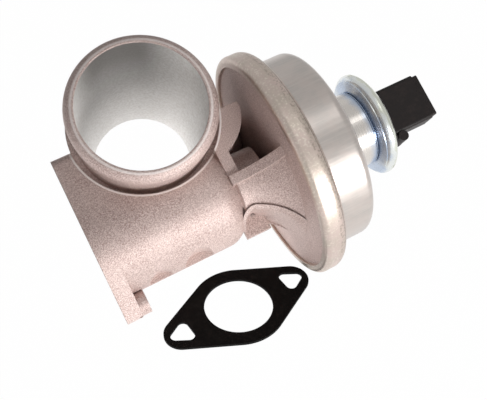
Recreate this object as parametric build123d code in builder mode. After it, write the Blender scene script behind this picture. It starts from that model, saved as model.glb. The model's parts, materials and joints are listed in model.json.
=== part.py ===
from build123d import *

import os
from math import cos, radians, sin

# Vacuum-operated exhaust gas recirculation valve with its position sensor, and its loose flange gasket.
#
# Millimetres. The valve is drawn in its own axes: +X runs along the valve stem from the exhaust flange to the
# sensor plug, and +Z runs along the air duct towards its near mouth. The origin is the centre of the exhaust
# flange's face. Every piece is then laid as the valve rests on a bench, on the rim of its vacuum chamber and the
# far lip of its duct, with +Z up from the bench.

os.makedirs("parts", exist_ok=True)

# ---- driving dimensions -------------------------------------------------------------------------------

# exhaust flange and its two bolts
flange_t = 7.0
flange_hub_r = 23.6
bolt_spacing = 56.6
bolt_hole_r = 3.4
bolt_depth = 14.0
lug_r = 8.8
lug_flat = 5.1
lug_boss_r = 5.0
lug_boss_h = 4.2
lug_groove_w = 1.6
lug_groove_depth = 1.4
web_y = 33.0
web_z = 11.5
web_corner_r = 5.2

# gas passage along the stem
inlet_r = 15.2
seat_x = 10.0
seat_h = 5.0
seat_ring_r = 14.8
seat_port_r = 11.6
chamber_r = 14.4
chamber_end_x = 47.0
port_x = 32.0
port_r = 12.5
port_overlap = 3.0

# outside of the barrel, the neck and the plate that carries the vacuum chamber
barrel_r = 23.4
barrel_end_x = 52.6
dome_end_x = 61.9
dome_end_r = 17.9
neck_r = 19.6
neck_start_x = 62.9
neck_wall = 4.0
end_wall_x = 66.0
plate_x = 82.3
plate_t = 3.6
plate_r = 48.2
plate_cone = 0.8
flare_r = 33.0
flare_slope = 0.06
guide_boss_r = 12.2
guide_boss_end_x = 78.0

# openings and ribs of the neck
window_edge_y = 0.8
window_low_z = -8.0
rib_t = 4.3
rib_proud = 1.5
arch_edge_x = 60.9
arch_foot_y = -20.0
arch_peak_x = 66.1
arch_peak_y = -15.1
arch_corner_run = 1.3
arch_bend_x = 74.1
arch_bend_y = -19.9
arch_out_y = -33.5
arch_low_z = -9.0
arch_rim_w = 1.5
arch_rim_proud = 0.8
arch_rim_start_x = 60.0
ear_top_z = 19.6
ear_low_z = 8.0
ear_edge_y = 28.0
ear_end_x = 78.8
ear_foot_y = 10.5
ear_bend_x = 75.4
ear_bend_y = 17.7
ear_tip_h = 3.0
tab_edge_y = -23.8
tab_root_y = 8.0
tab_end_x = 71.9
tab_top_z = -1.0
tab_t = 4.0

# air duct
duct_x = 40.0
duct_y = 36.8
duct_mouth_z = 37.9
duct_length = 93.0
duct_bore_r = 25.7
duct_far_bore_r = 24.2
bore_straight = 10.0
hose_seat_r = 28.8
bead_r = 30.0
bead_drop = 4.0
bead_under_h = 3.2
lip_w = 0.9
spigot_length = 25.4
duct_base_r = 31.3
ledge_r = 31.4

# scooped pockets on the barrel's flank
pocket_xs = (20.1, 37.6)
pocket_rs = (6.6, 7.6)
pocket_y = -27.0
pocket_floor_z = 0.0

# stem, poppet and their guide
stem_r = 3.0
stem_tip_x = 101.0
poppet_r = 13.4
poppet_h = 4.2
poppet_edge_h = 1.6
poppet_neck_w = 2.0
poppet_neck_h = 3.0
bush_r = 5.6
bush_start_x = 43.0
bush_end_x = 71.0
seal_r = 8.0
seal_h = 5.0
retainer_t = 1.2

# vacuum chamber
sheet = 1.2
rim_fold = 2.6
rim_lip_w = 1.4
rim_end_fall = 0.9
rim_foot_w = 1.5
rim_edge_w = 1.2
rim_edge_h = 1.3
rim_end_x = 92.4
rim_round = 3.0
cover_r = 42.9
cover_end_x = 110.2
cover_corner_r = 4.0
diaphragm_t = 1.6
plate_margin = 1.0
roll_h = 3.4
roll_gap = 1.9
cup_depth = 4.0
nut_r = 5.5
nut_h = 4.0
hub_x = 87.3

# return spring
spring_wire_r = 1.1
cup_margin = 6.5
spring_margin = 0.5
spring_turns = 2.5

# vacuum nipple on the far side of the cover
nipple_x = 100.4
nipple_r = 3.0
nipple_bore_r = 1.4
nipple_length = 15.0
nipple_lead = 0.6
nipple_sunk = 1.0
barb_r = 3.6
barb_h = 3.0

# sensor cap; the sensor sits a little off the stem's line
sensor_y = -0.9
cap_neck_r = 17.0
cap_foot_r = 21.0
cap_sheet = 1.3
cap_groove_depth = 1.2
cap_groove_w = 1.1
cap_ridge_w = 0.4
cap_ridge_sunk = 0.2
cap_lap_r = 21.6
cap_bead_r = 23.6
cap_bead_back = 3.1
cap_bead_half_w = 3.4
cap_lap_step = 0.8
cap_lap_flat = 0.4
cap_lap_foot = 0.6
cap_shoulder_w = 0.6
cap_shoulder_r = 21.9
cap_end_r = 21.2
crimp_slot_back = 2.0
cap_end_x = 134.4
cap_mouth_r = 12.4
crimp_slot_w = 1.2
crimp_slot_length = 2.8
crimp_slot_floor_r = 22.3
crimp_slot_turns = (27, 168, 277)

# sensor body and its plug socket
housing_y = -0.2
housing_w = 21.4
housing_h = 13.0
housing_length = 27.5
housing_corner_r = 1.6
end_step = 0.8
end_step_w = 2.6
socket_depth = 13.0
socket_wall = 1.7
sensor_length = 21.4
sensor_overlap = 1.0
sensor_cavity_r = 9.6
sensor_wall = 2.0
pin_count = 5
pin_pitch = 3.1
pin_size = 0.8
pin_length = 8.0
collar_y = -0.4
collar_w = 25.2
collar_t = 5.4
foot_boss_r = 2.3
foot_boss_h = 8.0
foot_boss_sunk = 0.5
foot_boss_gap = 0.4
vent_plug_h = 3.0
vent_plug_off = 0.6
vent_plug_step = 0.5

# sensor plunger
plunger_r = 3.5
plunger_collar_back = 16.0
plunger_collar_r = 7.4
plunger_collar_t = 2.0
sensor_spring_r = 6.0
sensor_spring_wire_r = 0.5
sensor_spring_turns = 3
track_y = 7.6
track_t = 1.0
track_w = 8.2
wiper_t = 0.6
wiper_press = 0.1
wiper_w = 3.0
wiper_length = 3.0

# gasket
gasket_t = 1.2
gasket_hub_r = 21.2
gasket_hole_r = 15.2
gasket_lug_r = 8.2
gasket_corner_r = 2.5
gasket_corner_away = 3.2
gasket_x = 53.8
gasket_y = -27.0
gasket_turn = 7.1

# how the valve lies on the bench
roll_on_bench = 36.2
pitch_on_bench = 10.8

# clearances
seat_gap = 0.02
running_gap = 0.04
free_gap = 0.35

# ---- sizes that follow --------------------------------------------------------------------------------

duct_far_z = duct_mouth_z - duct_length
rim_bulge_r = plate_r + rim_fold
rim_lip_r = plate_r - rim_lip_w
rim_end_r = plate_r - rim_end_fall
spring_r = cap_neck_r + spring_margin
cup_r = spring_r + cup_margin
back_plate_r = cup_r + plate_margin
roll_in_r = back_plate_r + plate_margin
roll_out_r = cover_r - roll_gap
cap_bead_x = cap_end_x - cap_bead_back
cap_shoulder_x = cap_end_x - cap_shoulder_w
crimp_slot_x = cap_end_x - crimp_slot_back
cap_neck_end_x = cap_bead_x - cap_bead_half_w - cap_groove_w
housing_end_x = cap_end_x + housing_length
sensor_start_x = cap_end_x - sensor_length
plunger_collar_x = cap_end_x - plunger_collar_back
ledge_z = duct_mouth_z - spigot_length
far_ledge_z = duct_far_z + spigot_length
lug_y = bolt_spacing / 2
seat_face_x = seat_x + seat_h
poppet_x = seat_face_x + seat_gap
plate_back_x = plate_x + plate_t
rim_lip_x = plate_x + plate_cone - sheet - seat_gap
clamp_x = plate_back_x + diaphragm_t
hub_back_x = hub_x + sheet
cup_x = hub_back_x + diaphragm_t
spring_start_x = cup_x + sheet
cap_foot_x = cover_end_x - sheet - cap_sheet
cap_foot_end_x = cover_end_x - sheet - seat_gap
sensor_r = cap_neck_r - cap_sheet - seat_gap
sensor_back_x = cap_end_x - cap_sheet
foot_boss_x = cap_end_x + collar_t + foot_boss_r + foot_boss_gap
foot_boss_y = housing_y - housing_w / 2 - foot_boss_r + foot_boss_sunk
rim_round_x = rim_lip_x + rim_round
rim_rise = rim_round_x * sin(radians(pitch_on_bench))
rim_low_z = rim_rise - (rim_bulge_r - rim_round) * cos(radians(pitch_on_bench))
bench_z = rim_low_z - rim_round

stem_line = Axis((0, 0, 0), (1, 0, 0))
duct_line = Axis((duct_x, duct_y, 0), (0, 0, 1))
stem_plane = Plane.XZ
duct_plane = Plane(origin=(duct_x, duct_y, 0), x_dir=(1, 0, 0), z_dir=(0, -1, 0))
on_bench = Location((0, 0, 0), (0, -pitch_on_bench, 0)) * Location((0, 0, 0), (roll_on_bench, 0, 0))
on_sensor = on_bench * Location((0, sensor_y, 0))


def across(x):
    """The plane square to the stem at x, with its own x along Y and its own y along Z."""
    return Plane(origin=(x, 0, 0), x_dir=(0, 1, 0), z_dir=(1, 0, 0))


def ring_profile(x_start, x_end, r_in, r_out):
    """A rectangle to be revolved about the stem."""
    with Locations(((x_start + x_end) / 2, (r_in + r_out) / 2)):
        Rectangle(x_end - x_start, r_out - r_in)


def neck_skin(start_x, proud):
    """The outline of the flaring neck's wall, cut along the stem, from start_x to the plate."""
    with BuildLine() as outline:
        Line((neck_start_x, neck_r - neck_wall), (start_x, neck_r - neck_wall))
        Line((start_x, neck_r - neck_wall), (start_x, neck_r + proud))
        Line((start_x, neck_r + proud), (neck_start_x, neck_r + proud))
        TangentArc((neck_start_x, neck_r + proud), (plate_x, flare_r + proud), tangent=(1, flare_slope))
        Line((plate_x, flare_r + proud), (plate_x, flare_r - neck_wall))
        TangentArc(
            (neck_start_x, neck_r - neck_wall), (plate_x, flare_r - neck_wall), tangent=(1, flare_slope)
        )
    return outline.edges()


def arch_outline():
    """The outline of the arch that is cut from the neck's flank, seen along the duct."""
    with BuildLine() as outline:
        Line((arch_edge_x, -plate_r), (arch_edge_x, arch_foot_y))
        ThreePointArc(
            (arch_edge_x, arch_foot_y),
            (arch_edge_x + arch_corner_run, (arch_foot_y + 3 * arch_peak_y) / 4),
            (arch_peak_x, arch_peak_y),
        )
        ThreePointArc((arch_peak_x, arch_peak_y), (arch_bend_x, arch_bend_y), (plate_x, arch_out_y))
        Line((plate_x, arch_out_y), (plate_x, -plate_r))
        Line((plate_x, -plate_r), (arch_edge_x, -plate_r))
    return outline.edges()


def save(part, name, pose=on_bench):
    """Label a finished piece, lay it on the bench and write its STEP file."""
    laid = part.moved(pose)
    laid.label = name
    export_step(laid, f"parts/{name}.step")


# ---- cast body ----------------------------------------------------------------------------------------

with BuildPart() as body:
    # barrel, domed end, flaring neck and round plate
    with BuildSketch(stem_plane):
        with BuildLine():
            Line((0, 0), (0, barrel_r))
            Line((0, barrel_r), (barrel_end_x, barrel_r))
            TangentArc((barrel_end_x, barrel_r), (dome_end_x, dome_end_r), tangent=(1, 0))
            Line((dome_end_x, dome_end_r), (neck_start_x, neck_r))
            TangentArc((neck_start_x, neck_r), (plate_x, flare_r), tangent=(1, flare_slope))
            Line((plate_x, flare_r), (plate_x + plate_cone, plate_r))
            Line((plate_x + plate_cone, plate_r), (plate_back_x, plate_r))
            Line((plate_back_x, plate_r), (plate_back_x, 0))
            Line((plate_back_x, 0), (0, 0))
        make_face()
    revolve(axis=stem_line)
    # hollow of the yoke, then the window towards the duct and the arch on the other flank
    with BuildSketch(stem_plane):
        with BuildLine():
            Line((end_wall_x, 0), (end_wall_x, neck_r - neck_wall))
            TangentArc(
                (end_wall_x, neck_r - neck_wall), (plate_x, flare_r - neck_wall), tangent=(1, flare_slope)
            )
            Line((plate_x, flare_r - neck_wall), (plate_x, 0))
            Line((plate_x, 0), (end_wall_x, 0))
        make_face()
    revolve(axis=stem_line, mode=Mode.SUBTRACT)
    with BuildSketch(Plane.XY.offset(window_low_z)):
        with Locations(((end_wall_x + plate_x) / 2, window_edge_y + plate_r / 2)):
            Rectangle(plate_x - end_wall_x, plate_r)
    extrude(amount=plate_r, mode=Mode.SUBTRACT)
    with BuildSketch(Plane.XY.offset(arch_low_z)):
        make_face(arch_outline())
    extrude(amount=plate_r, mode=Mode.SUBTRACT)
    with BuildPart(mode=Mode.PRIVATE) as arch_rim:
        with BuildSketch(stem_plane):
            make_face(neck_skin(arch_rim_start_x, arch_rim_proud))
        revolve(axis=stem_line)
        with BuildSketch(Plane.XY.offset(arch_low_z)):
            make_face(arch_outline())
            offset(amount=arch_rim_w, kind=Kind.INTERSECTION)
            make_face(arch_outline(), mode=Mode.SUBTRACT)
        extrude(amount=plate_r, mode=Mode.INTERSECT)
    add(arch_rim.part)
    # guide boss
    with BuildSketch(across(dome_end_x)):
        Circle(guide_boss_r)
    extrude(amount=guide_boss_end_x - dome_end_x)
    # rim along the window's edge, which follows the flare
    with BuildSketch(Plane.XZ.offset(-window_edge_y)):
        make_face(neck_skin(dome_end_x - 1, rib_proud))
    extrude(amount=rib_t)
    # ear beside the duct
    with BuildSketch(Plane.XY.offset(ear_low_z)):
        with BuildLine():
            Line((dome_end_x - 1, window_edge_y), (end_wall_x, window_edge_y))
            Line((end_wall_x, window_edge_y), (end_wall_x, ear_foot_y))
            ThreePointArc(
                (end_wall_x, ear_foot_y), (ear_bend_x, ear_bend_y), (ear_end_x, ear_edge_y - ear_tip_h)
            )
            Line((ear_end_x, ear_edge_y - ear_tip_h), (ear_end_x, ear_edge_y))
            Line((ear_end_x, ear_edge_y), (dome_end_x - 1, ear_edge_y))
            Line((dome_end_x - 1, ear_edge_y), (dome_end_x - 1, window_edge_y))
        make_face()
    extrude(amount=ear_top_z - ear_low_z)
    # tab on the rear of the arch
    with BuildSketch(Plane.XY.offset(tab_top_z - tab_t)):
        with Locations(((arch_edge_x + tab_end_x) / 2, (tab_edge_y - tab_root_y) / 2)):
            Rectangle(tab_end_x - arch_edge_x, -tab_edge_y - tab_root_y)
    extrude(amount=tab_t)
    # flange: two bolt lugs, the near one cut flat and the far one carried by a web on the duct
    with BuildSketch(across(0)):
        Circle(flange_hub_r)
        with Locations((-lug_y, 0), (lug_y, 0)):
            Circle(lug_r)
        with Locations((web_y, -web_z), (web_y, web_z)):
            Circle(web_corner_r)
        make_hull()
        with Locations((-lug_y - lug_flat - lug_r, 0)):
            Rectangle(2 * lug_r, 2 * flange_hub_r, mode=Mode.SUBTRACT)
    extrude(amount=flange_t)
    with BuildSketch(across(0)):
        with Locations((web_y, -web_z), (web_y, web_z)):
            Circle(web_corner_r)
        with Locations((0, 0)):
            Circle(barrel_r)
        make_hull()
    extrude(amount=duct_x)
    with BuildSketch(across(flange_t)):
        with Locations((-lug_y, 0)):
            Circle(lug_boss_r + lug_groove_w)
            Circle(lug_boss_r, mode=Mode.SUBTRACT)
    extrude(amount=-lug_groove_depth, mode=Mode.SUBTRACT)
    with BuildSketch(across(flange_t)):
        with Locations((-lug_y, 0)):
            Circle(lug_boss_r)
    extrude(amount=lug_boss_h)
    # duct base, cleared for the hose above its ledge
    with BuildSketch(Plane.XY.offset(far_ledge_z)):
        with Locations((duct_x, duct_y)):
            Circle(duct_base_r)
    extrude(amount=ledge_z - far_ledge_z)
    for start_z, rise in ((ledge_z, duct_base_r), (far_ledge_z, -duct_base_r)):
        with BuildSketch(Plane.XY.offset(start_z)):
            with Locations((duct_x, duct_y)):
                Circle(ledge_r)
        extrude(amount=rise, mode=Mode.SUBTRACT)
    # hose spigots with a rounded bead at each mouth
    for mouth_z, back, bore_r in ((duct_mouth_z, -1, duct_bore_r), (duct_far_z, 1, duct_far_bore_r)):
        bead_z = mouth_z + back * bead_drop
        root_z = mouth_z + back * (spigot_length + 1)
        with BuildSketch(duct_plane):
            with BuildLine():
                Line((bore_r - 1, root_z), (hose_seat_r, root_z))
                Line((hose_seat_r, root_z), (hose_seat_r, bead_z + back * bead_under_h))
                ThreePointArc(
                    (hose_seat_r, bead_z + back * bead_under_h),
                    (bead_r - 0.5, bead_z + back * bead_under_h * 0.45),
                    (bead_r, bead_z),
                )
                ThreePointArc(
                    (bead_r, bead_z),
                    (bead_r - 1.0, mouth_z + back * bead_drop * 0.35),
                    (bore_r + lip_w, mouth_z),
                )
                Line((bore_r + lip_w, mouth_z), (bore_r - 1, mouth_z))
                Line((bore_r - 1, mouth_z), (bore_r - 1, root_z))
            make_face()
        revolve(axis=duct_line)
    # scooped pockets
    for pocket_x, pocket_r in zip(pocket_xs, pocket_rs):
        with BuildSketch(Plane.XY.offset(pocket_floor_z)):
            with Locations((pocket_x, pocket_y)):
                Circle(pocket_r)
        extrude(amount=barrel_r, mode=Mode.SUBTRACT)
    # duct bore
    with BuildSketch(duct_plane):
        with BuildLine():
            Polyline(
                (0, duct_far_z),
                (duct_far_bore_r, duct_far_z),
                (duct_far_bore_r, duct_far_z + bore_straight),
                (duct_bore_r, duct_mouth_z - bore_straight),
                (duct_bore_r, duct_mouth_z),
                (0, duct_mouth_z),
                close=True,
            )
        make_face()
    revolve(axis=duct_line, mode=Mode.SUBTRACT)
    # gas passage: inlet, chamber, and the port into the duct
    with BuildSketch(across(0)):
        Circle(inlet_r)
    extrude(amount=seat_x, mode=Mode.SUBTRACT)
    with BuildSketch(across(seat_x)):
        Circle(seat_ring_r)
    extrude(amount=seat_h, mode=Mode.SUBTRACT)
    with BuildSketch(across(seat_face_x)):
        Circle(chamber_r)
    extrude(amount=chamber_end_x - seat_face_x, mode=Mode.SUBTRACT)
    with BuildSketch(Plane.XZ):
        with Locations((port_x, 0)):
            Circle(port_r)
    extrude(amount=-(duct_y - duct_far_bore_r + port_overlap), mode=Mode.SUBTRACT)
    # bush, seal and stem holes
    with BuildSketch(across(chamber_end_x)):
        Circle(bush_r)
    extrude(amount=bush_end_x - chamber_end_x, mode=Mode.SUBTRACT)
    with BuildSketch(across(bush_end_x)):
        Circle(seal_r)
    extrude(amount=guide_boss_end_x - bush_end_x, mode=Mode.SUBTRACT)
    with BuildSketch(across(plate_x)):
        Circle(stem_r + 1)
    extrude(amount=plate_t, mode=Mode.SUBTRACT)
    # bolt holes
    with BuildSketch(across(0)):
        with Locations((-lug_y, 0), (lug_y, 0)):
            Circle(bolt_hole_r)
    extrude(amount=bolt_depth, mode=Mode.SUBTRACT)

save(body.part, "body")

# ---- seat, poppet and guide ---------------------------------------------------------------------------

with BuildPart() as seat_ring:
    with BuildSketch(stem_plane):
        ring_profile(seat_x, seat_face_x, seat_port_r, seat_ring_r - seat_gap)
    revolve(axis=stem_line)
    chamfer(seat_ring.edges().filter_by(GeomType.CIRCLE).sort_by(Axis.X)[:1], length=0.8)
save(seat_ring.part, "seat_ring")

with BuildPart() as poppet:
    with BuildSketch(stem_plane):
        with BuildLine():
            Polyline(
                (poppet_x, 0),
                (poppet_x, poppet_r),
                (poppet_x + poppet_edge_h, poppet_r),
                (poppet_x + poppet_h, stem_r + poppet_neck_w),
                (poppet_x + poppet_h + poppet_neck_h, stem_r),
                (stem_tip_x, stem_r),
                (stem_tip_x, 0),
                close=True,
            )
        make_face()
    revolve(axis=stem_line)
save(poppet.part, "poppet")

with BuildPart() as guide_bush:
    with BuildSketch(stem_plane):
        ring_profile(bush_start_x, bush_end_x, stem_r + running_gap, bush_r - seat_gap)
    revolve(axis=stem_line)
save(guide_bush.part, "guide_bush")

with BuildPart() as stem_seal:
    with BuildSketch(stem_plane):
        ring_profile(bush_end_x + seat_gap, bush_end_x + seal_h, stem_r + running_gap, seal_r - seat_gap)
    revolve(axis=stem_line)
save(stem_seal.part, "stem_seal")

with BuildPart() as seal_retainer:
    with BuildSketch(stem_plane):
        ring_profile(
            guide_boss_end_x - retainer_t, guide_boss_end_x, stem_r + free_gap, seal_r - seat_gap
        )
    revolve(axis=stem_line)
save(seal_retainer.part, "seal_retainer")

# ---- vacuum chamber -----------------------------------------------------------------------------------

with BuildPart() as back_plate:
    with BuildSketch(stem_plane):
        ring_profile(hub_x, hub_back_x - seat_gap, stem_r, back_plate_r)
    revolve(axis=stem_line)
save(back_plate.part, "back_plate")

with BuildPart() as diaphragm:
    with BuildSketch(stem_plane):
        with BuildLine():
            Line((hub_back_x, stem_r + seat_gap), (hub_back_x, roll_in_r))
            ThreePointArc(
                (hub_back_x, roll_in_r),
                (hub_back_x + roll_h, (roll_in_r + roll_out_r) / 2),
                (plate_back_x + seat_gap, roll_out_r),
            )
            Line((plate_back_x + seat_gap, roll_out_r), (plate_back_x + seat_gap, plate_r))
            Line((plate_back_x + seat_gap, plate_r), (clamp_x, plate_r))
            Line((clamp_x, plate_r), (clamp_x, roll_out_r))
            ThreePointArc(
                (clamp_x, roll_out_r),
                (hub_back_x + roll_h + diaphragm_t, (roll_in_r + roll_out_r) / 2),
                (cup_x - seat_gap, roll_in_r),
            )
            Line((cup_x - seat_gap, roll_in_r), (cup_x - seat_gap, stem_r + seat_gap))
            Line((cup_x - seat_gap, stem_r + seat_gap), (hub_back_x, stem_r + seat_gap))
        make_face()
    revolve(axis=stem_line)
save(diaphragm.part, "diaphragm")

with BuildPart() as spring_cup:
    with BuildSketch(stem_plane):
        ring_profile(cup_x, cup_x + sheet, stem_r, cup_r)
        ring_profile(cup_x, cup_x + cup_depth, cup_r - sheet, cup_r)
    revolve(axis=stem_line)
save(spring_cup.part, "spring_cup")

with BuildPart() as stem_nut:
    with BuildSketch(across(spring_start_x)):
        RegularPolygon(nut_r, 6, major_radius=False)
        Circle(stem_r, mode=Mode.SUBTRACT)
    extrude(amount=nut_h)
save(stem_nut.part, "stem_nut")

with BuildPart() as return_spring:
    spring_height = cap_foot_x - spring_start_x - 2 * spring_wire_r - 2 * seat_gap
    with BuildLine() as return_coil:
        Helix(
            pitch=spring_height / spring_turns,
            height=spring_height,
            radius=spring_r,
            center=(spring_start_x + spring_wire_r + seat_gap, 0, 0),
            direction=(1, 0, 0),
        )
    with BuildSketch(Plane(origin=return_coil.line @ 0, z_dir=return_coil.line % 0)):
        Circle(spring_wire_r)
    sweep(path=return_coil.line, is_frenet=True)
save(return_spring.part, "return_spring")

with BuildPart() as cover:
    with BuildSketch(stem_plane):
        with BuildLine():
            Line((rim_lip_x, rim_lip_r), (rim_lip_x, plate_r + sheet - 1))
            ThreePointArc(
                (rim_lip_x, plate_r + sheet - 1),
                (rim_lip_x + 0.7, rim_bulge_r - 0.7),
                (rim_lip_x + rim_round, rim_bulge_r),
            )
            Line((rim_lip_x + rim_round, rim_bulge_r), (rim_end_x - rim_round - 1, rim_bulge_r))
            ThreePointArc(
                (rim_end_x - rim_round - 1, rim_bulge_r),
                (rim_end_x - rim_edge_w, rim_bulge_r - rim_edge_h),
                (rim_end_x, rim_end_r),
            )
            Line((rim_end_x, rim_end_r), (rim_end_x, cover_r + rim_foot_w))
            ThreePointArc(
                (rim_end_x, cover_r + rim_foot_w),
                (rim_end_x + rim_foot_w / 3, cover_r + rim_foot_w / 3),
                (rim_end_x + rim_foot_w, cover_r),
            )
            Line((rim_end_x + rim_foot_w, cover_r), (cover_end_x - cover_corner_r, cover_r))
            TangentArc(
                (cover_end_x - cover_corner_r, cover_r),
                (cover_end_x, cover_r - cover_corner_r),
                tangent=(1, 0),
            )
            Polyline(
                (cover_end_x, cover_r - cover_corner_r),
                (cover_end_x, stem_r),
                (cover_end_x - sheet, stem_r),
                (cover_end_x - sheet, cover_r - cover_corner_r),
            )
            TangentArc(
                (cover_end_x - sheet, cover_r - cover_corner_r),
                (cover_end_x - cover_corner_r, cover_r - sheet),
                tangent=(0, 1),
            )
            Line((cover_end_x - cover_corner_r, cover_r - sheet), (clamp_x + seat_gap, cover_r - sheet))
            Line((clamp_x + seat_gap, cover_r - sheet), (clamp_x + seat_gap, plate_r + seat_gap))
            Line((clamp_x + seat_gap, plate_r + seat_gap), (rim_lip_x + sheet, plate_r + seat_gap))
            Line((rim_lip_x + sheet, plate_r + seat_gap), (rim_lip_x + sheet, plate_r))
            Line((rim_lip_x + sheet, plate_r), (rim_lip_x + sheet - 0.08, rim_lip_r))
            Line((rim_lip_x + sheet - 0.08, rim_lip_r), (rim_lip_x, rim_lip_r))
        make_face()
    revolve(axis=stem_line)
    with BuildSketch(Plane.XY.offset(-cover_r / 2)):
        with Locations((nipple_x, 0)):
            Circle(nipple_r)
    extrude(amount=-cover_r, mode=Mode.SUBTRACT)
    with BuildSketch(across(cover_end_x)):
        with Locations((sensor_y, 0)):
            Circle(cap_neck_r + seat_gap)
    extrude(amount=-sheet, mode=Mode.SUBTRACT)
save(cover.part, "cover")

with BuildPart() as vacuum_nipple:
    nipple_start_z = -(cover_r - sheet - nipple_sunk)
    nipple_plane = Plane(origin=(nipple_x, 0, 0), x_dir=(1, 0, 0), z_dir=(0, -1, 0))
    with BuildSketch(nipple_plane):
        with BuildLine():
            Polyline(
                (nipple_bore_r, nipple_start_z),
                (nipple_r - seat_gap, nipple_start_z),
                (nipple_r - seat_gap, -cover_r - nipple_length + barb_h),
                (barb_r, -cover_r - nipple_length + barb_h),
                (nipple_r - nipple_lead, -cover_r - nipple_length),
                (nipple_bore_r, -cover_r - nipple_length),
                close=True,
            )
        make_face()
    revolve(axis=Axis((nipple_x, 0, 0), (0, 0, 1)))
save(vacuum_nipple.part, "vacuum_nipple")

# ---- position sensor ----------------------------------------------------------------------------------

with BuildPart() as sensor_cap:
    groove_r = cap_neck_r - cap_groove_depth
    bead_start_x = cap_neck_end_x + cap_groove_w
    lap_x = bead_start_x + cap_lap_step
    ridge_x = cap_neck_end_x + (cap_groove_w - cap_ridge_w) / 2
    ridge_r = cap_neck_r - cap_ridge_sunk
    with BuildSketch(stem_plane):
        with BuildLine():
            Line((cap_foot_x, cap_neck_r - cap_sheet), (cap_foot_x, cap_foot_r))
            Line((cap_foot_x, cap_foot_r), (cap_foot_end_x, cap_foot_r))
            Line((cap_foot_end_x, cap_foot_r), (cap_foot_end_x, cap_neck_r))
            Line((cap_foot_end_x, cap_neck_r), (cap_neck_end_x, cap_neck_r))
            Line((cap_neck_end_x, cap_neck_r), (cap_neck_end_x, groove_r))
            Polyline(
                (cap_neck_end_x, groove_r),
                (ridge_x, groove_r),
                (ridge_x, ridge_r),
                (ridge_x + cap_ridge_w, ridge_r),
                (ridge_x + cap_ridge_w, groove_r),
                (bead_start_x, groove_r),
                (bead_start_x, cap_neck_r + cap_lap_foot),
            )
            Polyline(
                (bead_start_x, cap_neck_r + cap_lap_foot), (lap_x, cap_lap_r), (lap_x + cap_lap_flat, cap_lap_r)
            )
            ThreePointArc(
                (lap_x + cap_lap_flat, cap_lap_r), (cap_bead_x, cap_bead_r), (cap_shoulder_x, cap_shoulder_r)
            )
            Line((cap_shoulder_x, cap_shoulder_r), (cap_end_x, cap_end_r))
            Line((cap_end_x, cap_end_r), (cap_end_x, cap_mouth_r))
            Line((cap_end_x, cap_mouth_r), (sensor_back_x, cap_mouth_r))
            Line((sensor_back_x, cap_mouth_r), (sensor_back_x, cap_neck_r - cap_sheet))
            Line((sensor_back_x, cap_neck_r - cap_sheet), (cap_foot_x, cap_neck_r - cap_sheet))
        make_face()
    revolve(axis=stem_line)
    # crimping slots in the bead
    with BuildSketch(across(crimp_slot_x - crimp_slot_w / 2)):
        for turn in crimp_slot_turns:
            with PolarLocations(crimp_slot_floor_r + cap_bead_r / 2, 1, start_angle=turn):
                Rectangle(cap_bead_r, crimp_slot_length)
    extrude(amount=crimp_slot_w, mode=Mode.SUBTRACT)
save(sensor_cap.part, "sensor_cap", on_sensor)

with BuildPart() as sensor_body:
    with BuildSketch(stem_plane):
        ring_profile(sensor_start_x, sensor_back_x - seat_gap, 0, sensor_r)
    revolve(axis=stem_line)
    with BuildSketch(across(sensor_back_x - sensor_overlap)):
        Circle(cap_mouth_r - seat_gap)
    extrude(amount=cap_end_x - sensor_back_x + 2 * sensor_overlap)
    with BuildSketch(across(cap_end_x)):
        with Locations((collar_y, 0)):
            RectangleRounded(collar_w, housing_h, housing_corner_r)
    extrude(amount=collar_t)
    with BuildSketch(across(cap_end_x)):
        with Locations((housing_y, 0)):
            RectangleRounded(housing_w, housing_h, housing_corner_r)
    extrude(amount=housing_end_x - end_step_w - cap_end_x)
    with BuildSketch(across(housing_end_x - end_step_w)):
        with Locations((housing_y, 0)):
            RectangleRounded(housing_w - 2 * end_step, housing_h - 2 * end_step, housing_corner_r - end_step)
    extrude(amount=end_step_w)
    # round boss at the foot of the plug housing
    with BuildSketch(Plane.XY.offset(housing_h / 2)):
        with Locations((foot_boss_x, foot_boss_y)):
            Circle(foot_boss_r)
    extrude(amount=-foot_boss_h)
    # plug socket
    with BuildSketch(across(housing_end_x - socket_depth)):
        with Locations((housing_y, 0)):
            RectangleRounded(
                housing_w - 2 * end_step - 2 * socket_wall, housing_h - 2 * end_step - 2 * socket_wall, 1
            )
    extrude(amount=socket_depth, mode=Mode.SUBTRACT)
    # cavity for the plunger, its spring and the track
    with BuildSketch(stem_plane):
        ring_profile(sensor_start_x + sensor_wall, sensor_back_x - sensor_wall, 0, sensor_cavity_r)
    revolve(axis=stem_line, mode=Mode.SUBTRACT)
    with BuildSketch(across(sensor_start_x)):
        Circle(plunger_r + running_gap)
    extrude(amount=sensor_wall, mode=Mode.SUBTRACT)
save(sensor_body.part, "sensor_body", on_sensor)

with BuildPart() as vent_plug:
    with BuildSketch(Plane.XY.offset(housing_h / 2 - foot_boss_h)):
        with Locations((foot_boss_x, foot_boss_y - vent_plug_off)):
            Circle(foot_boss_r - vent_plug_step)
    extrude(amount=-vent_plug_h)
save(vent_plug.part, "vent_plug", on_sensor)

with BuildPart() as terminals:
    with BuildSketch(across(housing_end_x - socket_depth)):
        with Locations((housing_y, 0)):
            with GridLocations(pin_pitch, 0, pin_count, 1):
                Rectangle(pin_size, pin_size)
    extrude(amount=pin_length)
save(terminals.part, "terminals", on_sensor)

with BuildPart() as plunger:
    with BuildSketch(stem_plane):
        ring_profile(stem_tip_x + seat_gap, plunger_collar_x + plunger_collar_t, 0, plunger_r)
        ring_profile(plunger_collar_x, plunger_collar_x + plunger_collar_t, 0, plunger_collar_r)
    revolve(axis=stem_line)
save(plunger.part, "plunger", on_sensor)

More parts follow.
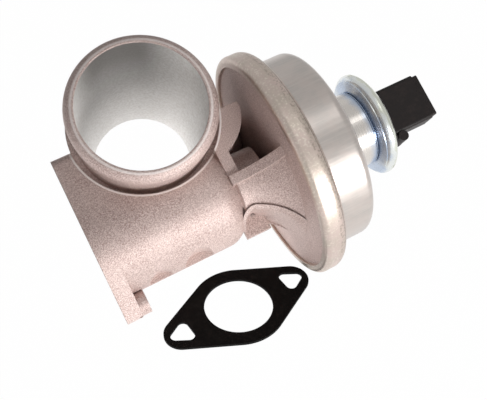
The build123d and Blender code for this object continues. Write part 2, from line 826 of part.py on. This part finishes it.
with BuildPart() as plunger_spring:
    sensor_spring_x = plunger_collar_x + plunger_collar_t + sensor_spring_wire_r + seat_gap
    sensor_spring_h = sensor_back_x - sensor_wall - sensor_spring_wire_r - seat_gap - sensor_spring_x
    with BuildLine() as sensor_coil:
        Helix(
            pitch=sensor_spring_h / sensor_spring_turns,
            height=sensor_spring_h,
            radius=sensor_spring_r,
            center=(sensor_spring_x, 0, 0),
            direction=(1, 0, 0),
        )
    with BuildSketch(Plane(origin=sensor_coil.line @ 0, z_dir=sensor_coil.line % 0)):
        Circle(sensor_spring_wire_r)
    sweep(path=sensor_coil.line, is_frenet=True)
save(plunger_spring.part, "plunger_spring", on_sensor)

with BuildPart() as track_board:
    with BuildSketch(across(sensor_start_x + sensor_wall)):
        with Locations((track_y + track_t / 2, 0)):
            Rectangle(track_t, track_w)
    extrude(amount=sensor_back_x - sensor_start_x - 2 * sensor_wall)
save(track_board.part, "track_board", on_sensor)

with BuildPart() as wiper:
    with BuildSketch(across(plunger_collar_x + plunger_collar_t)):
        with Locations((track_y - free_gap + wiper_press - wiper_t / 2, 0)):
            Rectangle(wiper_t, wiper_w)
    extrude(amount=wiper_length)
save(wiper.part, "wiper", on_sensor)

# ---- gasket -------------------------------------------------------------------------------------------

gasket_place = Plane(
    origin=(gasket_x, gasket_y, bench_z),
    x_dir=(cos(radians(gasket_turn)), sin(radians(gasket_turn)), 0),
)

with BuildPart() as gasket:
    with BuildSketch(gasket_place):
        Circle(gasket_hub_r)
        with Locations((-lug_y, 0), (lug_y, 0)):
            Circle(gasket_lug_r)
        make_hull()
        Circle(gasket_hole_r, mode=Mode.SUBTRACT)
    extrude(amount=gasket_t)
    # a rounded triangle for each bolt, with one corner outwards
    for hole_x, turn in ((-lug_y, 180), (lug_y, 0)):
        with BuildSketch(gasket_place):
            with Locations((hole_x, 0)):
                with PolarLocations(gasket_corner_away, 3, start_angle=turn):
                    Circle(gasket_corner_r)
            make_hull()
        extrude(amount=gasket_t, mode=Mode.SUBTRACT)
save(gasket.part, "gasket", pose=Location())
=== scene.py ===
import bpy
import json
from math import pi, radians
from mathutils import Matrix, Vector


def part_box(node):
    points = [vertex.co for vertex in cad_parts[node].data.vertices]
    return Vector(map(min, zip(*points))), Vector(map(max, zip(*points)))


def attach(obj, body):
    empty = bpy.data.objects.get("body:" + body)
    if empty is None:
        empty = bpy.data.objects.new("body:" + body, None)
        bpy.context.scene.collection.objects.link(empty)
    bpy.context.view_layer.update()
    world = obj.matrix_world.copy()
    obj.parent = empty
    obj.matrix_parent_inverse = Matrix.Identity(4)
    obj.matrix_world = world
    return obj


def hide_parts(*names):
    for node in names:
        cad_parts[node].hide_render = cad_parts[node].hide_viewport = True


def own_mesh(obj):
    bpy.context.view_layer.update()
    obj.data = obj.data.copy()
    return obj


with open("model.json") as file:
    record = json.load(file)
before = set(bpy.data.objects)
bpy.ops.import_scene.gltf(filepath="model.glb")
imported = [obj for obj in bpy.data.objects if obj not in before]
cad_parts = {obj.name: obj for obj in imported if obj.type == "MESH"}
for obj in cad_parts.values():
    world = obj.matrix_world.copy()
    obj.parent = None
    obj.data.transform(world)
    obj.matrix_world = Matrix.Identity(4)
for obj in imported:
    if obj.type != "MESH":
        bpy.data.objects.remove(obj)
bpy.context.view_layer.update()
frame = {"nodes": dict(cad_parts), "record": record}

# Exhaust gas recirculation valve and its loose flange gasket: looks, light and camera around the packed
# model. Places along the valve are given in its own axes and in millimetres, as in the part's source: x along
# the stem from the exhaust flange's face, z along the duct towards its near mouth.

nodes = frame["nodes"]
scene = bpy.context.scene

MM = 0.001
ROLL = radians(36.2)
PITCH = radians(10.8)
TO_BENCH = Matrix.Rotation(-PITCH, 3, "Y") @ Matrix.Rotation(ROLL, 3, "X")
BENCH_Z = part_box("gasket")[0].z

# where a finish, a painted highlight or a painted shade changes along or around the valve
DUCT_X, DUCT_Y = 40.0, 36.8
DUCT_MOUTH_Z = 37.9
BORE_R = 26.6
# the painted shade on the duct's top wall is full below its near mouth and fades to 0.3 of that towards its
# far end
SHADE_FULL_Z, SHADE_FADED_Z = 34.0, -30.0
# where the painted highlight around the duct's ledge sits
LEDGE_R, LEDGE_Z = 31.75, 12.5
RIM_X = 92.4
NECK_END_X, BLUE_X = 123.0, 127.5
BLUE_END_X, PALE_X = 128.0, 130.5
STRAW_X = 132.6
TRACK_Z = 1.6

# the parts of a noise texture's range over which a look changes
SOFT = (0.3, 0.7)
FIRM = (0.35, 0.65)


def place(x, y, z):
    """A point given in the valve's axes and millimetres, in metres on the bench."""
    return TO_BENCH @ Vector((x, y, z)) * MM


def direction(x, y, z):
    """A direction given in the valve's axes, on the bench."""
    return TO_BENCH @ Vector((x, y, z))


# ---- node trees ----------------------------------------------------------------------------------

class Look:
    """A node material, with short calls for the nodes that it is made of."""

    def __init__(self, name):
        self.material = bpy.data.materials.new(name)
        self.material.use_nodes = True
        self.tree = self.material.node_tree
        self.shader = self.tree.nodes["Principled BSDF"]
        self.output = self.tree.nodes["Material Output"]

    def node(self, kind, settings=None, **inputs):
        """Add a node, set its properties and its inputs; an input may be a value or another node's output."""
        made = self.tree.nodes.new(kind)
        for key, value in (settings or {}).items():
            setattr(made, key, value)
        for key, value in inputs.items():
            self.put(made.inputs[key.replace("_", " ")], value)
        return made

    def put(self, socket, value):
        """Link a node's output to the socket, or set the socket to a plain value."""
        if isinstance(value, bpy.types.NodeSocket):
            self.tree.links.new(value, socket)
        else:
            socket.default_value = value

    def math(self, operation, a, b=0.0):
        made = self.tree.nodes.new("ShaderNodeMath")
        made.operation = operation
        for socket, value in zip(made.inputs, (a, b)):
            self.put(socket, value)
        return made.outputs[0]

    def ramp(self, value, low, high, out_low=0.0, out_high=1.0):
        """Smoothly from out_low to out_high as value goes from low to high."""
        made = self.node("ShaderNodeMapRange", {"interpolation_type": "SMOOTHSTEP"}, Value=value)
        made.inputs["From Min"].default_value = low
        made.inputs["From Max"].default_value = high
        made.inputs["To Min"].default_value = out_low
        made.inputs["To Max"].default_value = out_high
        return made.outputs[0]

    def band(self, value, middle, half, soft):
        """1 within half of middle, falling to 0 over soft on each side."""
        away = self.math("ABSOLUTE", self.math("SUBTRACT", value, middle))
        return self.ramp(away, half, half + soft, 1.0, 0.0)

    def mix(self, factor, a, b):
        """Colour a where factor is 0, and b where it is 1."""
        made = self.tree.nodes.new("ShaderNodeMix")
        made.data_type = "RGBA"
        colour_a, colour_b = made.inputs[6], made.inputs[7]
        self.put(made.inputs["Factor"], factor)
        self.put(colour_a, a)
        self.put(colour_b, b)
        return made.outputs[2]

    def noise(self, vector, scale, detail, roughness):
        made = self.node("ShaderNodeTexNoise", Vector=vector, Scale=scale, Detail=detail, Roughness=roughness)
        return made.outputs["Fac"]

    def streaks(self, x, angle, along, around, detail=3.0, roughness=0.6):
        """Noise drawn out along or around the stem, with so many waves a millimetre and a radian."""
        stretched = self.joined(self.math("MULTIPLY", x, along), self.math("MULTIPLY", angle, around), 0.0)
        return self.noise(stretched, 1.0, detail, roughness)

    def cells(self, vector, scale):
        made = self.node("ShaderNodeTexVoronoi", Vector=vector, Scale=scale)
        return made.outputs["Distance"]

    def turned(self, vector, angles):
        made = self.node("ShaderNodeMapping", {"vector_type": "POINT"}, Vector=vector)
        made.inputs["Rotation"].default_value = angles
        return made.outputs[0]

    def valve_axes(self):
        """The surface point in the valve's axes, in millimetres."""
        point = self.node("ShaderNodeTexCoord").outputs["Object"]
        scaled = self.node("ShaderNodeMapping", {"vector_type": "POINT"}, Vector=point)
        scaled.inputs["Scale"].default_value = (1 / MM,) * 3
        level = self.turned(scaled.outputs[0], (0.0, PITCH, 0.0))
        return self.turned(level, (-ROLL, 0.0, 0.0))

    def split(self, vector):
        return self.node("ShaderNodeSeparateXYZ", Vector=vector).outputs

    def joined(self, x, y, z):
        return self.node("ShaderNodeCombineXYZ", X=x, Y=y, Z=z).outputs[0]

    def radius(self, a, b, a_middle, b_middle):
        """Distance from a line that is square to both a and b."""
        a_away = self.math("SUBTRACT", a, a_middle)
        b_away = self.math("SUBTRACT", b, b_middle)
        squares = [self.math("MULTIPLY", away, away) for away in (a_away, b_away)]
        return self.math("SQRT", self.math("ADD", *squares))

    def rounded(self, edge_r):
        """The normal with edges rounded to edge_r millimetres."""
        return self.node("ShaderNodeBevel", {"samples": 6}, Radius=edge_r * MM).outputs[0]

    def bumped(self, height, relief, strength, edge_r=None):
        """The normal of a surface with this relief in millimetres, and with rounded edges if asked."""
        made = self.node("ShaderNodeBump", Height=height, Distance=relief * MM, Strength=strength)
        if edge_r is not None:
            self.put(made.inputs["Normal"], self.rounded(edge_r))
        return made.outputs[0]

    def finish(self, base, rough, normal=None, metallic=0.0, specular=0.5):
        self.put(self.shader.inputs["Base Color"], base)
        self.put(self.shader.inputs["Roughness"], rough)
        self.put(self.shader.inputs["Metallic"], metallic)
        self.shader.inputs["Specular IOR Level"].default_value = specular
        if normal is not None:
            self.put(self.shader.inputs["Normal"], normal)
        return self.material


def colour(red, green, blue):
    """A colour as it looks on a screen, from 0 to 255, as the shader's linear value."""
    def linear(value):
        value /= 255
        return value / 12.92 if value <= 0.04045 else ((value + 0.055) / 1.055) ** 2.4
    return (linear(red), linear(green), linear(blue), 1.0)


# ---- materials -----------------------------------------------------------------------------------

def casting_look():
    """Shot-blasted aluminium casting: pinkish grey with a fine grain, greyer and pitted inside the duct, with
    painted shade on the duct's top wall and painted bright lines at its ledge and lip.
    """
    look = Look("casting")
    point = look.valve_axes()
    x, y, z = look.split(point)
    duct_r = look.radius(x, y, DUCT_X, DUCT_Y)
    grain = look.noise(point, scale=2.5, detail=2.0, roughness=0.65)
    coarse = look.noise(point, scale=0.9, detail=3.0, roughness=0.6)
    mottle = look.noise(point, scale=0.07, detail=3.0, roughness=0.55)
    pits = look.ramp(look.cells(point, scale=0.32), 0.05, 0.11, 1.0, 0.0)

    outside = look.mix(look.ramp(mottle, *SOFT), colour(162, 135, 128), colour(176, 152, 145))
    outside = look.mix(look.ramp(grain, 0.35, 0.68), outside, colour(228, 210, 204))
    # painted highlight: a bright line along the foot of the ledge around the duct, and a weaker bright line
    # along the lip of its near mouth
    above_ledge = look.ramp(z, LEDGE_Z - 1.5, LEDGE_Z)
    ledge_highlight = look.math("MULTIPLY", look.band(duct_r, LEDGE_R, half=0.3, soft=0.3), above_ledge)
    at_mouth = look.ramp(z, DUCT_MOUTH_Z - 1.3, DUCT_MOUTH_Z - 0.7)
    lip = look.math("MULTIPLY", look.band(duct_r, BORE_R + 0.3, half=0.25, soft=0.4), at_mouth)
    bright = look.math("MAXIMUM", ledge_highlight, look.math("MULTIPLY", lip, 0.6))
    outside = look.mix(bright, outside, colour(252, 244, 240))

    # painted shade: the duct's top wall is darkened, most below its near mouth and fading towards its far
    # end, so the duct looks brighter there and at its sides
    turn = look.math("ARCTAN2", look.math("SUBTRACT", y, DUCT_Y), look.math("SUBTRACT", x, DUCT_X))
    at_top = look.band(turn, pi / 2, half=0.35, soft=1.0)
    deep = look.ramp(z, SHADE_FULL_Z, SHADE_FADED_Z)
    painted_top_shade = look.math("MULTIPLY", at_top, look.math("SUBTRACT", 1.0, look.math("MULTIPLY", deep, 0.7)))
    inside = look.mix(look.ramp(coarse, *FIRM), colour(230, 226, 222), colour(252, 250, 248))
    inside = look.mix(look.math("MULTIPLY", painted_top_shade, 0.95), inside, colour(84, 80, 76))
    inside = look.mix(look.math("MULTIPLY", pits, 0.4), inside, colour(120, 112, 106))

    within_bore = look.ramp(duct_r, BORE_R - 0.4, BORE_R, 1.0, 0.0)
    below_mouth = look.ramp(z, DUCT_MOUTH_Z - 0.9, DUCT_MOUTH_Z - 0.5, 1.0, 0.0)
    base = look.mix(look.math("MULTIPLY", within_bore, below_mouth), outside, inside)
    height = look.math("ADD", look.math("MULTIPLY", grain, 0.5), look.math("MULTIPLY", coarse, 0.5))
    normal = look.bumped(height, relief=0.35, strength=0.5, edge_r=0.6)
    return look.finish(base, look.ramp(grain, *SOFT, 0.42, 0.56), normal, metallic=0.3)


def sheet_look():
    """Pressed sheet, satin with fine drawing lines; the rolled rim is warmer, flecked and lined."""
    look = Look("pressed_sheet")
    point = look.valve_axes()
    x, y, z = look.split(point)
    angle = look.math("ARCTAN2", z, y)
    lines = look.streaks(x, angle, along=0.05, around=38.0)
    rings = look.streaks(x, angle, along=2.4, around=1.2)
    mottle = look.noise(point, scale=0.12, detail=3.0, roughness=0.6)
    speckle = look.noise(point, scale=1.1, detail=2.0, roughness=0.6)
    on_rim = look.ramp(x, RIM_X + 0.4, RIM_X + 1.4, 1.0, 0.0)

    grey = look.mix(look.ramp(mottle, *FIRM), colour(190, 184, 179), colour(200, 190, 184))
    grey = look.mix(look.ramp(lines, 0.35, 0.8), grey, colour(205, 197, 191))

    warm = look.mix(look.ramp(mottle, *SOFT), colour(196, 184, 172), colour(208, 190, 182))
    warm = look.mix(look.ramp(speckle, 0.5, 0.72), warm, colour(222, 212, 200))
    fleck_zone = look.band(x, RIM_X - 2.2, half=1.6, soft=1.0)
    flecks = look.math("MULTIPLY", fleck_zone, look.ramp(speckle, 0.5, 0.62))
    warm = look.mix(look.math("MULTIPLY", flecks, 0.55), warm, colour(118, 98, 86))
    crimp_front = look.band(x, RIM_X + 0.3, half=0.12, soft=0.2)
    crimp_back = look.band(x, RIM_X - 1.5, half=0.06, soft=0.18)
    crimp = look.math("MAXIMUM", crimp_front, crimp_back)
    warm = look.mix(look.math("MULTIPLY", crimp, 0.7), warm, colour(84, 70, 62))

    base = look.mix(on_rim, grey, warm)
    height = look.math("ADD", look.math("MULTIPLY", lines, 0.7), look.math("MULTIPLY", rings, 0.3))
    normal = look.bumped(height, relief=0.012, strength=0.3, edge_r=0.4)
    rough = look.math("ADD", look.ramp(lines, *SOFT, 0.3, 0.34), look.math("MULTIPLY", on_rim, 0.08))
    return look.finish(base, rough, normal, metallic=0.9)


def zinc_look():
    """Zinc plating, tinted blue towards the groove, pale behind it and straw-coloured on the bead."""
    look = Look("zinc_plated")
    point = look.valve_axes()
    x, y, z = look.split(point)
    angle = look.math("ARCTAN2", z, y)
    wander = look.noise(point, scale=0.11, detail=3.0, roughness=0.6)
    along = look.math("ADD", x, look.math("MULTIPLY", look.math("SUBTRACT", wander, 0.5), 7.0))
    scratches = look.streaks(x, angle, along=1.6, around=3.0)
    neck = colour(220, 214, 208)
    blue = colour(188, 200, 218)
    pale = colour(232, 235, 233)
    straw = colour(222, 224, 212)
    base = look.mix(look.ramp(along, NECK_END_X, BLUE_X), neck, blue)
    base = look.mix(look.ramp(along, BLUE_END_X, PALE_X), base, pale)
    base = look.mix(look.band(along, STRAW_X, half=0.6, soft=1.0), base, straw)
    normal = look.bumped(scratches, relief=0.05, strength=0.4, edge_r=0.3)
    return look.finish(base, look.ramp(scratches, *SOFT, 0.2, 0.3), normal, metallic=1.0)


def metal_look(name, tone, rough_low, rough_high):
    """Turned, drawn or plated metal with fine tool marks around the stem."""
    look = Look(name)
    point = look.valve_axes()
    x, y, z = look.split(point)
    angle = look.math("ARCTAN2", z, y)
    marks = look.streaks(x, angle, along=6.0, around=1.5, detail=2.0, roughness=0.5)
    mottle = look.noise(point, scale=0.25, detail=3.0, roughness=0.6)
    lighter = tuple(min(1.0, value * 1.18) for value in tone[:3]) + (1.0,)
    base = look.mix(look.ramp(mottle, *SOFT), tone, lighter)
    normal = look.bumped(marks, relief=0.04, strength=0.5, edge_r=0.2)
    return look.finish(base, look.ramp(marks, *SOFT, rough_low, rough_high), normal, metallic=1.0)


def plastic_look():
    """Moulded black plastic with a faint spark-eroded grain and lighter rubbed patches."""
    look = Look("black_plastic")
    point = look.valve_axes()
    grain = look.noise(point, scale=3.0, detail=2.0, roughness=0.6)
    rub = look.noise(point, scale=0.25, detail=3.0, roughness=0.65)
    base = look.mix(look.ramp(rub, 0.45, 0.75), colour(22, 16, 15), colour(36, 28, 26))
    normal = look.bumped(grain, relief=0.05, strength=0.5, edge_r=0.3)
    return look.finish(base, look.ramp(grain, *SOFT, 0.45, 0.58), normal, specular=0.28)


def rubber_look(name, tone, rough):
    """Rubber or coated sheet: nearly black, with a fine dusty grain."""
    look = Look(name)
    point = look.valve_axes()
    grain = look.noise(point, scale=2.2, detail=3.0, roughness=0.6)
    dust = look.noise(point, scale=0.3, detail=3.0, roughness=0.6)
    base = look.mix(look.ramp(dust, 0.4, 0.8), tone, colour(22, 21, 20))
    normal = look.bumped(grain, relief=0.04, strength=0.5, edge_r=0.15)
    return look.finish(base, look.ramp(grain, *SOFT, rough, rough + 0.1), normal, specular=0.1)


def board_look():
    """Resistance track card: dark green lacquer with two black carbon tracks."""
    look = Look("board")
    point = look.valve_axes()
    z = look.split(point)["Z"]
    tracks = [look.band(z, middle, half=0.6, soft=0.2) for middle in (TRACK_Z, -TRACK_Z)]
    fibre = look.noise(point, scale=1.5, detail=3.0, roughness=0.6)
    base = look.mix(look.ramp(fibre, *SOFT), colour(30, 66, 40), colour(42, 84, 52))
    base = look.mix(look.math("MAXIMUM", *tracks), base, colour(22, 21, 21))
    normal = look.bumped(fibre, relief=0.03, strength=0.4)
    return look.finish(base, look.ramp(fibre, *SOFT, 0.35, 0.5), normal)


LOOKS = {
    "casting": casting_look(),
    "pressed_sheet": sheet_look(),
    "zinc_plated": zinc_look(),
    "steel_plain": metal_look("steel_plain", colour(176, 172, 166), 0.28, 0.42),
    "spring_steel": metal_look("spring_steel", colour(128, 126, 124), 0.3, 0.45),
    "bronze": metal_look("bronze", colour(176, 140, 92), 0.35, 0.5),
    "tinned_pins": metal_look("tinned_pins", colour(206, 202, 190), 0.25, 0.35),
    "rubber": rubber_look("rubber", colour(30, 29, 28), 0.6),
    "gasket_black": rubber_look("gasket_black", colour(7, 6, 6), 0.55),
    "black_plastic": plastic_look(),
    "board": board_look(),
}
for part in frame["record"]["subparts"]:
    shown = nodes[part["node"]]
    shown.data.materials.clear()
    shown.data.materials.append(LOOKS[part["material_slot"]])


# ---- springs -------------------------------------------------------------------------------------

# Each spring is shown as its own copy of its mesh, carried by the housing.
for name in ("return_spring", "plunger_spring"):
    coil = bpy.data.objects.new(name + "_coil", nodes[name].data.copy())
    scene.collection.objects.link(coil)
    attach(coil, "housing")
    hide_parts(name)
    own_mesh(coil)


# ---- floor and surroundings ----------------------------------------------------------------------

WHITE = (1.0, 1.0, 1.0, 1.0)
FLOOR_HALF = 3.0
PAPER = (0.8, 0.8, 0.79, 1.0)
FLOOR_GLOW = 0.994
WORLD_LIGHT, WORLD_IN_GLOSS, WORLD_SEEN = 0.02, 0.62, 1.0


def floor_look():
    """White paper: bright to the camera and in reflections, and it keeps a faint shadow."""
    look = Look("floor_paper")
    look.finish(PAPER, 0.9, specular=0.1)
    path = look.node("ShaderNodeLightPath")
    seen = look.math("MAXIMUM", path.outputs["Is Camera Ray"], path.outputs["Is Glossy Ray"])
    white = look.node("ShaderNodeEmission", Strength=1.0)
    white.inputs["Color"].default_value = WHITE
    both = look.node("ShaderNodeMixShader")
    look.put(both.inputs[0], look.math("MULTIPLY", seen, FLOOR_GLOW))
    look.put(both.inputs[1], look.shader.outputs[0])
    look.put(both.inputs[2], white.outputs[0])
    look.put(look.output.inputs["Surface"], both.outputs[0])
    return look.material


def ray_switch(tree, ray, otherwise, then):
    """A number that is `then` for the given kind of ray and `otherwise` for the rest."""
    path = tree.nodes.new("ShaderNodeLightPath")
    made = tree.nodes.new("ShaderNodeMix")
    tree.links.new(path.outputs[ray], made.inputs["Factor"])
    low, high = made.inputs[2], made.inputs[3]
    if isinstance(otherwise, bpy.types.NodeSocket):
        tree.links.new(otherwise, low)
    else:
        low.default_value = otherwise
    high.default_value = then
    return made.outputs[0]


floor_mesh = bpy.data.meshes.new("floor")
corners = [(across * FLOOR_HALF, back * FLOOR_HALF, BENCH_Z)
           for across, back in ((-1, -1), (1, -1), (1, 1), (-1, 1))]
floor_mesh.from_pydata(corners, [], [(0, 1, 2, 3)])
floor = bpy.data.objects.new("floor", floor_mesh)
scene.collection.objects.link(floor)
floor_mesh.materials.append(floor_look())

world = bpy.data.worlds.new("studio")
scene.world = world
world.use_nodes = True
background = world.node_tree.nodes["Background"]
background.inputs["Color"].default_value = WHITE
in_gloss = ray_switch(world.node_tree, "Is Glossy Ray", WORLD_LIGHT, WORLD_IN_GLOSS)
strength = ray_switch(world.node_tree, "Is Camera Ray", in_gloss, WORLD_SEEN)
world.node_tree.links.new(strength, background.inputs["Strength"])


# ---- light ---------------------------------------------------------------------------------------

CENTRE = place(62.0, 8.0, 0.0)
BOUNCE_CLEAR = 0.2 * MM


def softbox(name, towards, distance, width, height, power):
    """A rectangular lamp in the given direction from the valve and facing it, in metres and watts."""
    lamp = bpy.data.lights.new(name, "AREA")
    lamp.shape = "RECTANGLE"
    lamp.size = width
    lamp.size_y = height
    lamp.energy = power
    lit = bpy.data.objects.new(name, lamp)
    scene.collection.objects.link(lit)
    way = Vector(towards).normalized()
    lit.location = CENTRE + way * distance
    lit.rotation_euler = way.to_track_quat("Z", "Y").to_euler()
    return lit


softbox("front_low", (0.26, -1.0, 0.03), distance=0.72, width=0.6, height=0.24, power=5.4)
fill = softbox("fill", (-0.15, -0.75, 0.65), distance=0.9, width=0.5, height=0.5, power=0.5)
fill.visible_glossy = False
softbox("overhead", (0.19, -0.37, 0.91), distance=0.9, width=0.5, height=0.22, power=0.36)
softbox("behind", (0.3, 0.8, 0.6), distance=1.0, width=0.9, height=0.5, power=0.1)

# the light that the white bench throws up at the valve
bounce = softbox("bench_bounce", (0.0, 0.0, -1.0), distance=1.0, width=0.6, height=0.5, power=1.3)
bounce.location = (CENTRE.x, CENTRE.y, BENCH_Z + BOUNCE_CLEAR)
bounce.visible_camera = False
bounce.visible_glossy = False


# ---- camera --------------------------------------------------------------------------------------

# It looks down on the bench from in front, to the left of the exhaust flange.
CAMERA_AT = (0.9, -47.87, 312.53)
CAMERA_RIGHT = (0.8833, -0.4512, 0.1274)
CAMERA_DOWN = (-0.4224, -0.8838, -0.2012)
SENSOR_WIDTH = 36.0
PICTURE_WIDTH = 487
FOCAL_PIXELS = 750
NEAREST, FARTHEST = 0.01, 20.0
right = direction(*CAMERA_RIGHT).normalized()
up = -direction(*CAMERA_DOWN)
up = (up - right * up.dot(right)).normalized()
camera = bpy.data.cameras.new("camera")
camera.sensor_fit = "HORIZONTAL"
camera.sensor_width = SENSOR_WIDTH
camera.lens = SENSOR_WIDTH * FOCAL_PIXELS / PICTURE_WIDTH
camera.clip_start = NEAREST
camera.clip_end = FARTHEST
viewer = bpy.data.objects.new("camera", camera)
scene.collection.objects.link(viewer)
turn = Matrix((right, up, right.cross(up))).transposed()
viewer.matrix_world = Matrix.Translation(place(*CAMERA_AT)) @ turn.to_4x4()
scene.camera = viewer

scene.view_settings.view_transform = "Standard"
